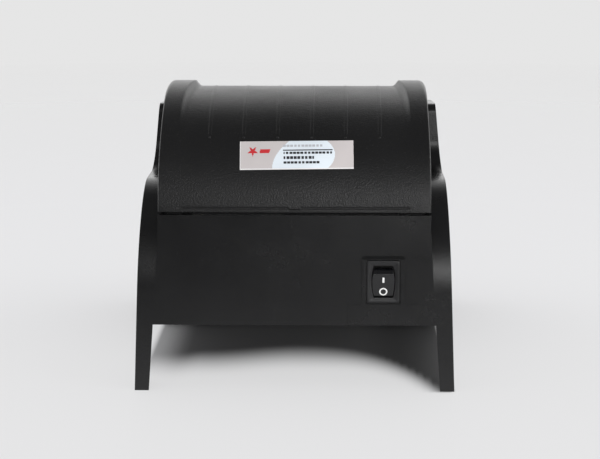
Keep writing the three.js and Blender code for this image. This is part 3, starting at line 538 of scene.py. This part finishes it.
def cover_skins():
    """Outer and inner skins of the cover, each row running up one end wall, over and down the other."""
    places = [("dome", a) for a in cover_angles()] + [("lip", t) for t in LIP_ROWS]
    columns = cover_columns()
    corner = [math.radians(a) for a in (0, 15, 30, 45, 60, 75, 90)]
    outer_skin, inner_skin = [], []
    for place in places:
        half = end_half(place)
        (y, z), (inner_y, inner_z) = cover_row(place, half)
        out = Vector((0, y - DOME_Y, z - DOME_Z)).normalized()
        corner_r = corner_radius(place)
        if place[0] == "lip":
            out = Vector((0, 0, 1)) if y < 0 else out
        edge = Vector((0, y, z)) - out * corner_r
        on_wall = edge.y > END_WALL_FRONT
        foot = SEAM_TOP if on_wall else LIP_TOP - LIP_THICK
        outer = wall_points(-half, edge.y, foot, max(edge.z, foot))
        for c in corner:
            x = -half + corner_r * (1 - math.cos(c))
            outer.append(Vector((x, edge.y, edge.z)) + out * corner_r * math.sin(c))
        inner_half = half - END_WALL
        inner = wall_points(-inner_half, inner_y, foot, max(inner_z, foot))
        inner += [Vector((-inner_half, inner_y, max(inner_z, foot)))] * len(corner)
        left_outer, left_inner = list(outer), list(inner)
        for x in columns:
            (y, z), (inner_y, inner_z) = cover_row(place, x)
            outer.append(Vector((x, y, z)))
            inner.append(Vector((max(-inner_half, min(inner_half, x)), inner_y, inner_z)))
        outer += [Vector((-p.x, p.y, p.z)) for p in reversed(left_outer)]
        inner += [Vector((-p.x, p.y, p.z)) for p in reversed(left_inner)]
        for p in outer + inner:
            p.z = max(p.z, SEAM_TOP)
        outer_skin.append(outer)
        inner_skin.append(inner)
    return outer_skin, inner_skin


cover = make_piece(
    "paper_cover_shell",
    *closed_shell(*cover_skins()),
    [cover_black],
    "cover",
    "shell",
    ["paper_cover"],
)
round_edges(cover, 0.25 * MM)


def tube_along_x(x0, x1, y, z, outer, inner, count=32):
    """A short tube, as the points of four rings and the faces that close them."""
    points, faces = [], []
    for x, radius in ((x0, outer), (x1, outer), (x1, inner), (x0, inner)):
        for k in range(count):
            a = 2 * math.pi * k / count
            points.append(Vector((x, y + radius * math.cos(a), z + radius * math.sin(a))))
    faces += sheet_faces(4, count, loop=True)
    for k in range(count):
        after = (k + 1) % count
        faces.append((3 * count + k, 3 * count + after, after, k))
    return points, faces


KNUCKLE_NEAR = 38.6 * MM
KNUCKLE_FAR = 43.6 * MM
KNUCKLE_R = 2 * MM
KNUCKLE_BORE = 1.15 * MM


def build_knuckles():
    """The cover's two hinge knuckles, round the hinge pins."""
    pin_low, pin_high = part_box("hinge_pin_right")
    y, z = (pin_low.y + pin_high.y) / 2, (pin_low.z + pin_high.z) / 2
    for name, side in (("left", -1), ("right", 1)):
        near, far = sorted((side * KNUCKLE_NEAR, side * KNUCKLE_FAR))
        points, faces = tube_along_x(near, far, y, z, KNUCKLE_R, KNUCKLE_BORE)
        make_piece(f"cover_knuckle_{name}", points, faces, [cover_black], "cover", "shell")


build_knuckles()


PIP_STEPS = 12
PIP_RINGS = ((-0.1, 0.42), (0.1, 0.42), (0.22, 0.34), (0.3, 0.2), (0.33, 0.05))  # lift, radius in mm


def build_pips():
    """A tiny round pip where each rib ends."""
    points, faces = [], []
    a = math.radians(RIB_END)
    out = Vector((0, math.cos(a), math.sin(a)))
    up = Vector((0, -math.sin(a), math.cos(a)))
    across = Vector((1, 0, 0))
    for i in range(RIB_COUNT):
        centre = Vector((0, DOME_Y, DOME_Z)) + across * (i - (RIB_COUNT - 1) / 2) * RIB_PITCH
        centre += out * (DOME_R - 0.12 * MM)
        first = len(points)
        for lift, radius in PIP_RINGS:
            for k in range(PIP_STEPS):
                t = 2 * math.pi * k / PIP_STEPS
                flat = across * math.cos(t) + up * math.sin(t)
                points.append(centre + out * lift * MM + flat * radius * MM)
        last = first + (len(PIP_RINGS) - 1) * PIP_STEPS
        faces += sheet_faces(len(PIP_RINGS), PIP_STEPS, first, loop=True)
        faces.append(tuple(first + k for k in reversed(range(PIP_STEPS))))
        faces.append(tuple(last + k for k in range(PIP_STEPS)))
    make_piece("cover_rib_pips", points, faces, [cover_black], "cover", "shell")


build_pips()


# ------------------------------------------------------------ label on the cover
LABEL_W = 38 * MM
LABEL_H = 10.2 * MM
LABEL_X = -0.7 * MM
LABEL_MIDDLE = math.radians(29.2)
LABEL_TILT = math.radians(0.8)
LABEL_CELL_MM = 0.2
LABEL_CELL = LABEL_CELL_MM * MM
LABEL_RADII = (DOME_R + 0.16 * MM, DOME_R + 0.02 * MM)
PLAIN, PALE, RULE, INK, RED, EDGE_HIGHLIGHT = range(6)
# Places on the label in mm, from its left and upper edges.
STAR_U, STAR_V, STAR_SIZE = 4.3, 3.7, 1.9
BAR_LEFT, BAR_RIGHT, BAR_TOP, BAR_BOTTOM, BAR_SLANT = 6.7, 10.0, 3.1, 4.3, 0.3
# The painted highlight runs along the left edge up to this width and below this depth, in mm.
HIGHLIGHT_LEFT, HIGHLIGHT_BELOW = 0.3, 9.85

# Lines of the generic print: top (mm from the label's upper edge), height, left, right, tone.
PRINT_LINES = (
    (1.4, 0.9, 14.4, 28.0, RULE),
    (3.3, 0.2, 14.4, 31.0, INK),
    (4.0, 0.8, 14.7, 30.8, INK),
    (5.7, 0.8, 14.7, 24.8, INK),
    (7.4, 0.8, 14.7, 26.6, INK),
)


def in_star(u, v):
    """True inside the five-pointed star."""
    du, dv = u - STAR_U, v - STAR_V
    radius = math.hypot(du, dv)
    turn = 2 * math.pi / 5
    angle = (math.atan2(du, dv) + turn / 2) % turn - turn / 2
    return radius * (1 + 1.55 * abs(angle) / (turn / 2)) < STAR_SIZE


def in_red_bar(u, v):
    """True inside the slanted bar beside the star."""
    slanted = u + BAR_SLANT * (v - STAR_V)
    return BAR_TOP <= v <= BAR_BOTTOM and BAR_LEFT <= slanted <= BAR_RIGHT


def in_pale_field(u, v):
    """True between the two curved edges of the pale field."""
    left_edge = 10.7 + 5.8 * (1 - v / 10.2) ** 2
    right_edge = 31.8 - 2.6 * ((v - 5.1) / 5.1) ** 2
    return left_edge < u < right_edge


def label_tone(u, v):
    """Tone of the print, or of the painted highlight along the left and lower edges, at u mm from the
    left edge and v mm below the upper edge.
    """
    for top, height, left, right, tone in PRINT_LINES:
        if top <= v <= top + height and left <= u <= right:
            gap = height > 0.5 and math.sin(u * 5.1 + top * 3) > 0.7
            if not gap:
                return tone
    if in_star(u, v) or in_red_bar(u, v):
        return RED
    # Painted highlight along the left and lower edges.
    if v > HIGHLIGHT_BELOW or u < HIGHLIGHT_LEFT:
        return EDGE_HIGHLIGHT
    return PALE if in_pale_field(u, v) else PLAIN


def build_label():
    across = round(LABEL_W / LABEL_CELL)
    down = round(LABEL_H / LABEL_CELL)
    tones = []
    skins = []
    for radius in LABEL_RADII:
        skin = []
        for j in range(down + 1):
            row = []
            for i in range(across + 1):
                u = (i / across - 0.5) * LABEL_W
                v = (0.5 - j / down) * LABEL_H
                x = LABEL_X + u * math.cos(LABEL_TILT) + v * math.sin(LABEL_TILT)
                rise = v * math.cos(LABEL_TILT) - u * math.sin(LABEL_TILT)
                a = LABEL_MIDDLE + rise / DOME_R
                row.append(Vector((x, DOME_Y + radius * math.cos(a), DOME_Z + radius * math.sin(a))))
            skin.append(row)
        skins.append(skin)
    vertices, faces = closed_shell(*skins)
    for j in range(down):
        for i in range(across):
            # Seen from the rear, +X is on the left.
            from_left = (across - i - 0.5) * LABEL_CELL_MM
            from_top = (j + 0.5) * LABEL_CELL_MM
            tones.append(label_tone(from_left, from_top))
    tones += [PLAIN] * (len(faces) - len(tones))
    tones_of = [label_grey, label_pale, label_rule, label_ink, label_red, label_edge_highlight]
    make_piece(
        "cover_sticker", vertices, faces, tones_of, "cover", "label", ["cover_label"], tones
    )


build_label()


# ------------------------------------------------------------ power switch
SWITCH_X = (switch_low.x + switch_high.x) / 2
SWITCH_Z = (switch_low.z + switch_high.z) / 2
BEZEL_FACE = switch_high.y
OPENING_HALF = 5.42 * MM
BARREL_END = 3.3 * MM
BARREL_MIDDLE = 3.94 * MM
ROCKER_CLEARANCE = 0.2 * MM
SIDE_STEPS = 10
CORNER_STEPS = 5


def barrel_half(z, inset=0.0):
    """Half width of the barrel-shaped opening at a height from its middle."""
    t = min(1.0, abs(z) / OPENING_HALF)
    return BARREL_END + (BARREL_MIDDLE - BARREL_END) * (1 - t * t) - inset


def ring(half_width, half_height, corner, y):
    """Points round an outline whose half width may change with height."""
    points = []
    for quarter in range(4):
        right = 1 if quarter in (0, 3) else -1
        top = 1 if quarter in (0, 1) else -1
        width = half_width(half_height)
        arc = []
        for k in range(CORNER_STEPS + 1):
            a = math.pi / 2 * k / CORNER_STEPS
            arc.append(
                (
                    right * (width - corner + corner * math.cos(a)),
                    top * (half_height - corner + corner * math.sin(a)),
                )
            )
        if right * top < 0:
            arc.reverse()
        points += arc
        if quarter in (1, 3):
            for k in range(1, SIDE_STEPS):
                z = (half_height - corner) * (1 - 2 * k / SIDE_STEPS)
                z = z if quarter == 1 else -z
                points.append((right * half_width(z), z))
    return [Vector((SWITCH_X + x, y, SWITCH_Z + z)) for x, z in points]


def rectangle(width, height, corner, y):
    return ring(lambda z: width / 2, height / 2, corner, y)


def blended(first, second, share, y):
    points = [a.lerp(b, share) for a, b in zip(first, second)]
    return [Vector((p.x, y, p.z)) for p in points]


def build_switch_housing():
    width, height = switch_high.x - switch_low.x, switch_high.z - switch_low.z
    plane = rectangle(width - 0.6 * MM, height - 0.6 * MM, 0.4 * MM, BEZEL_FACE)
    opening = ring(barrel_half, OPENING_HALF, 0.3 * MM, BEZEL_FACE)
    back = switch_low.y
    body_w, body_h = 8.6 * MM, 12.8 * MM
    well = back + 2.5 * MM
    rings = [
        rectangle(body_w, body_h, 0.4 * MM, back),
        rectangle(body_w, body_h, 0.4 * MM, BACK + 0.3 * MM),
        rectangle(width, height, 0.6 * MM, BACK + 0.3 * MM),
        rectangle(width, height, 0.6 * MM, BEZEL_FACE - 0.3 * MM),
        rectangle(width - 0.16 * MM, height - 0.16 * MM, 0.55 * MM, BEZEL_FACE - 0.1 * MM),
        rectangle(width - 0.5 * MM, height - 0.5 * MM, 0.45 * MM, BEZEL_FACE),
        blended(plane, opening, 0.35, BEZEL_FACE - 0.02 * MM),
        blended(plane, opening, 0.6, BEZEL_FACE - 0.2 * MM),
        blended(plane, opening, 0.85, BEZEL_FACE - 0.24 * MM),
        blended(plane, opening, 0.97, BEZEL_FACE - 0.26 * MM),
        blended(plane, opening, 1.0, BEZEL_FACE - 0.4 * MM),
        blended(plane, opening, 1.0, well),
    ]
    width_count = len(rings[0])
    points = [p for r in rings for p in r]
    faces = sheet_faces(len(rings), width_count, loop=True)
    faces.append(tuple(reversed(range(width_count))))
    faces.append(tuple((len(rings) - 1) * width_count + k for k in range(width_count)))
    piece = make_piece(
        "switch_bezel", points, faces, [switch_black], "housing", "switch", ["switch_housing"]
    )
    round_edges(piece, 0.06 * MM)


# Side view of the rocker: (from the rear panel, from the switch's middle) in mm.
ROCKER_BACK = ((-4.0, 4.15), (-6.0, 1.5), (-6.0, -1.5), (-4.2, -3.4), (-0.6, -4.75))
ROCKER_END = ((-0.4, 4.42), (0.6, 4.3), (1.2, 3.95), (1.65, 3.4), (1.93, 2.95))
FACE_TOP = (2.0, 2.65)
FACE_LOW = (0.12, -4.88)
FACE_STEPS = 14
FACE_SAG = 0.22
RING_MIDDLE = -3.42
# Across the rocker: share of its half width, and how far the outline is drawn in, in mm.
ROCKER_SECTIONS = (
    (-1, 0.2),
    (-0.985, 0.06),
    (-0.95, 0.0),
    (0, 0.0),
    (0.95, 0.0),
    (0.985, 0.06),
    (1, 0.2),
)


def face_point(t):
    """A point down the rocker's dished face, 0 at its crest and 1 at its pressed-in end."""
    y = FACE_TOP[0] + (FACE_LOW[0] - FACE_TOP[0]) * t - FACE_SAG * 4 * t * (1 - t)
    return y, FACE_TOP[1] + (FACE_LOW[1] - FACE_TOP[1]) * t


def rocker_profile():
    face = [face_point(k / FACE_STEPS) for k in range(FACE_STEPS + 1)]
    return list(ROCKER_END) + face + list(reversed(ROCKER_BACK)), len(ROCKER_END)


def height_when_tipped(z):
    """Greatest height, in mm, that a place on the raised end reaches as the rocker tips."""
    return z + 1.4 * smoothstep((z - 1) / 2)


def build_rocker():
    profile, end_count = rocker_profile()
    count = len(profile)
    inset_normals = []
    for i in range(count):
        before, after = profile[i - 1], profile[(i + 1) % count]
        along = Vector((after[0] - before[0], after[1] - before[1])).normalized()
        inset_normals.append(Vector((along.y, -along.x)))
    points = []
    for share, inset in ROCKER_SECTIONS:
        for (y, z), normal in zip(profile, inset_normals):
            y_in, z_in = y + normal.x * inset, z + normal.y * inset
            half = barrel_half(height_when_tipped(z) * MM, ROCKER_CLEARANCE)
            points.append(Vector((SWITCH_X + share * half, BACK + y_in * MM, SWITCH_Z + z_in * MM)))
    faces = sheet_faces(len(ROCKER_SECTIONS), count, loop=True)
    tones = [1 if i % count < end_count else 0 for i in range(len(faces))]
    faces.append(tuple(range(count)))
    last = (len(ROCKER_SECTIONS) - 1) * count
    faces.append(tuple(last + k for k in reversed(range(count))))
    tones += [0, 0]
    piece = make_piece(
        "rocker_cap",
        points,
        faces,
        [rocker_black, rocker_gloss],
        "rocker",
        "switch",
        ["switch_rocker"],
        tones,
    )
    round_edges(piece, 0.05 * MM, 2, 50)


def on_face(x, height, lift):
    """A point on the rocker's face at a height from the switch's middle, in mm."""
    t = (height - FACE_TOP[1]) / (FACE_LOW[1] - FACE_TOP[1])
    y, z = face_point(t)
    return Vector((SWITCH_X + x * MM, BACK + (y + lift) * MM, SWITCH_Z + z * MM))


def build_marks():
    """The painted bar and ring on the rocker's face."""
    skins = [
        [[on_face(x, z, lift) for x in (0.33, 0, -0.33)] for z in (1.66, 1.2, 0.7, 0.2, -0.22)]
        for lift in (0.03, -0.05)
    ]
    make_piece("rocker_mark_bar", *closed_shell(*skins), [mark_white], "rocker", "shell")
    steps = 48
    points = []
    for lift, radius in ((0.03, 1.38), (0.03, 0.9), (-0.05, 0.9), (-0.05, 1.38)):
        for k in range(steps):
            a = 2 * math.pi * k / steps
            height = RING_MIDDLE + radius * 0.97 * math.sin(a)
            points.append(on_face(radius * math.cos(a), height, lift))
    faces = sheet_faces(4, steps, loop=True)
    for k in range(steps):
        after = (k + 1) % steps
        faces.append((3 * steps + k, 3 * steps + after, after, k))
    make_piece("rocker_mark_ring", points, faces, [mark_white], "rocker", "shell")


build_switch_housing()
build_rocker()
build_marks()


# ------------------------------------------------------------ stage, light and camera
BACKDROP = 0.79  # what the camera sees where the floor ends
FLOOR_FADE = (0.35, 1.3)  # the floor fades into the backdrop between these distances
GLOSS_FADE = (0.08, 0.28)  # and sooner in what glossy surfaces mirror
GLOW = 0.8  # how far the paper evens out shadows behind the printer
GLOW_ELSEWHERE = 0.45
ARCH_HALF = 53 * MM
ARCH_TOP = 27 * MM  # how far forward the light reaches under the middle of the body
ARCH_LEG = 44.5 * MM
ARCH_SOFT = 44 * MM
UNDER_SHADE = 0.14  # painted shadow: how much of the paper's brightness is left deep below the body
# Painted shade of the paper beside the +X legs, lighter than deep below the body.
PAINTED_SHADE_BESIDE_LEGS = 0.5


def outside_arch(x, y):
    """Mask of the painted shadow: 0 deep below the body, 1 outside an arch on the floor from leg to
    leg.
    """
    if abs(x) > ARCH_HALF or y > BACK:
        return 1.0
    edge = ARCH_TOP + 8.5 * MM * smoothstep(x / (34 * MM))
    edge += 5 * MM * smoothstep((x - 34 * MM) / (10 * MM))
    edge += 38 * MM * (max(0.0, -x) / ARCH_LEG) ** 3.15
    soft = ARCH_SOFT - 14 * MM * smoothstep(-x / (45 * MM))
    before_front = smoothstep((housing_low.y + 12 * MM - y) / (20 * MM))
    return max(before_front, smoothstep((y - edge) / soft + 0.5))


def paper_glow(x, y):
    """Share of even light in the floor paper."""
    glow = GLOW_ELSEWHERE + (GLOW - GLOW_ELSEWHERE) * smoothstep((y + 80 * MM) / (130 * MM))
    return glow * outside_arch(x, y)


def painted_floor_shadow(x, y):
    """Painted shadow in the paper's colour: dark below the body, lighter beside the +X legs."""
    deep = UNDER_SHADE + (PAINTED_SHADE_BESIDE_LEGS - UNDER_SHADE) * smoothstep((x - 39 * MM) / (12 * MM))
    # Painted shadow: darker still towards -X.
    deep *= 1 - 0.5 * smoothstep((-x - 20 * MM) / (20 * MM))
    return deep + (1 - deep) * outside_arch(x, y)


def floor_lines():
    """Grid lines of the floor: fine below the printer, coarse far out."""
    fine = [i * 2.5 * MM for i in range(-48, 49)]
    return [-3, -1, -0.4, -0.2] + fine + [0.2, 0.4, 1, 3]


def build_stage():
    lines = floor_lines()
    points = [(x, y, 0) for y in lines for x in lines]
    mesh = bpy.data.meshes.new("floor")
    mesh.from_pydata(points, [], sheet_faces(len(lines), len(lines)))
    # The tone layer holds the painted shadow below the body; glow holds the share of even light.
    for name, level in (("glow", paper_glow), ("tone", painted_floor_shadow)):
        layer = mesh.attributes.new(name, "FLOAT", "POINT")
        for item, (x, y, z) in zip(layer.data, points):
            item.value = level(x, y)
    floor = bpy.data.objects.new("floor", mesh)
    bpy.context.scene.collection.objects.link(floor)
    material, tree, shader = new_material("floor_paper")
    # The paper's colour is darkened by the painted shadow in the tone layer.
    tone = add(tree, "ShaderNodeAttribute", attribute_name="tone")
    paper_with_painted_shadow = mix_colour(tree, tone.outputs["Fac"], (0, 0, 0), (0.76, 0.76, 0.77))
    tree.links.new(paper_with_painted_shadow, shader.inputs["Base Color"])
    shader.inputs["Roughness"].default_value = 0.6
    shader.inputs["Specular IOR Level"].default_value = 0.1
    rays = add(tree, "ShaderNodeLightPath")
    even = add(tree, "ShaderNodeEmission")
    even.inputs["Color"].default_value = (0.78, 0.78, 0.785, 1)
    share = add(tree, "ShaderNodeAttribute", attribute_name="glow")
    paper = mix_shader(tree, share.outputs["Fac"], shader.outputs[0], even.outputs[0])
    length = add(tree, "ShaderNodeVectorMath", operation="LENGTH")
    tree.links.new(place_of(tree), length.inputs[0])
    seen_fade = remap(tree, length.outputs["Value"], *FLOOR_FADE, 0, 1)
    gloss_fade = remap(tree, length.outputs["Value"], *GLOSS_FADE, 0, 1)
    gloss = math_node(tree, "MULTIPLY", gloss_fade, rays.outputs["Is Glossy Ray"])
    fade = math_node(tree, "MAXIMUM", seen_fade, gloss)
    clear = add(tree, "ShaderNodeBsdfTransparent")
    surface = mix_shader(tree, fade, paper, clear.outputs[0])
    tree.links.new(surface, tree.nodes["Material Output"].inputs["Surface"])
    mesh.materials.append(material)


def area_light(name, location, size, power, shadow):
    data = bpy.data.lights.new(name, "AREA")
    data.shape = "RECTANGLE"
    data.size, data.size_y = size
    data.energy = power
    light = bpy.data.objects.new(name, data)
    bpy.context.scene.collection.objects.link(light)
    light.location = location
    light.visible_camera = False
    data.use_shadow = shadow
    aim = Vector(LIGHT_TARGET) - Vector(location)
    light.rotation_euler = aim.to_track_quat("-Z", "Y").to_euler()


# What glossy surfaces see: (sine of the elevation, brightness) on the rear and the front side.
REAR_SKY = (
    (-1, 0.4),
    (-0.3, 0.12),
    (-0.02, 0.06),
    (0.06, 0.4),
    (0.3, 0.5),
    (0.5, 0.2),
    (0.7, 0.12),
    (1, 0.15),
)
FRONT_SKY = (
    (-1, 0.5),
    (0.0, 0.9),
    (0.3, 1.5),
    (0.6, 1.2),
    (0.79, 0.66),
    (0.89, 0.28),
    (0.95, 0.15),
    (1, 0.1),
)


def sky_ramp(tree, height, stops):
    """Brightness by height, from -1 straight down to 1 straight up."""
    ramp = add(tree, "ShaderNodeValToRGB")
    place = remap(tree, height, -1, 1, 0, 1)
    tree.links.new(place, ramp.inputs["Fac"])
    elements = ramp.color_ramp.elements
    while len(elements) < len(stops):
        elements.new(0.5)
    for element, (sine, level) in zip(elements, stops):
        element.position = (sine + 1) / 2
        element.color = (level, level, level, 1)
    return ramp.outputs["Color"]


EVEN_LIGHT = (0.93, 0.93, 0.94)


def build_world():
    world = bpy.data.worlds.new("studio")
    bpy.context.scene.world = world
    world.use_nodes = True
    tree = world.node_tree
    background = tree.nodes["Background"]
    direction = add(tree, "ShaderNodeSeparateXYZ")
    tree.links.new(add(tree, "ShaderNodeTexCoord").outputs["Generated"], direction.inputs[0])
    height = direction.outputs["Z"]
    rear = sky_ramp(tree, height, REAR_SKY)
    front = sky_ramp(tree, height, FRONT_SKY)
    side = remap(tree, direction.outputs["Y"], -0.15, 0.15, 1, 0)
    glossy = mix_colour(tree, side, rear, front)
    rays = add(tree, "ShaderNodeLightPath")
    diffuse = mix_colour(tree, rays.outputs["Is Diffuse Ray"], glossy, EVEN_LIGHT)
    seen = mix_colour(
        tree, rays.outputs["Is Camera Ray"], diffuse, (BACKDROP, BACKDROP, BACKDROP)
    )
    tree.links.new(seen, background.inputs["Color"])


# Name, place, size, power and whether it casts shadows; all aim at the middle of the printer.
LIGHTS = (
    ("key", (-0.9, 0.6, 0.75), (0.5, 0.6), 1.0, True),
    ("low_box", (-0.22, 0.66, 0.12), (0.4, 0.16), 0.8, False),
    ("strip_left", (1.0, 0.1, 0.3), (0.3, 0.5), 2.2, False),
    ("strip_right", (-1.0, 0.1, 0.3), (0.3, 0.5), 2.2, False),
)
LIGHT_TARGET = (0, 0.05, 0.05)


def build_light():
    build_world()
    for light in LIGHTS:
        area_light(*light)


LENS_MM = 108
CAMERA_DISTANCE = 0.599
CAMERA_ELEVATION = 10
CAMERA_SIDE = 1.1  # degrees towards -X
CAMERA_TARGET = Vector((-1.95 * MM, BACK, 55.45 * MM))


def build_camera():
    data = bpy.data.cameras.new("camera")
    data.lens = LENS_MM
    data.sensor_width = 36
    camera = bpy.data.objects.new("camera", data)
    bpy.context.scene.collection.objects.link(camera)
    e, s = math.radians(CAMERA_ELEVATION), math.radians(CAMERA_SIDE)
    back = Vector((-math.sin(s) * math.cos(e), math.cos(s) * math.cos(e), math.sin(e)))
    camera.location = CAMERA_TARGET + back * CAMERA_DISTANCE
    camera.rotation_euler = (-back).to_track_quat("-Z", "Y").to_euler()
    data.clip_start = 0.01
    bpy.context.scene.camera = camera


build_stage()
build_light()
build_camera()
bpy.context.scene.view_settings.view_transform = "Standard"
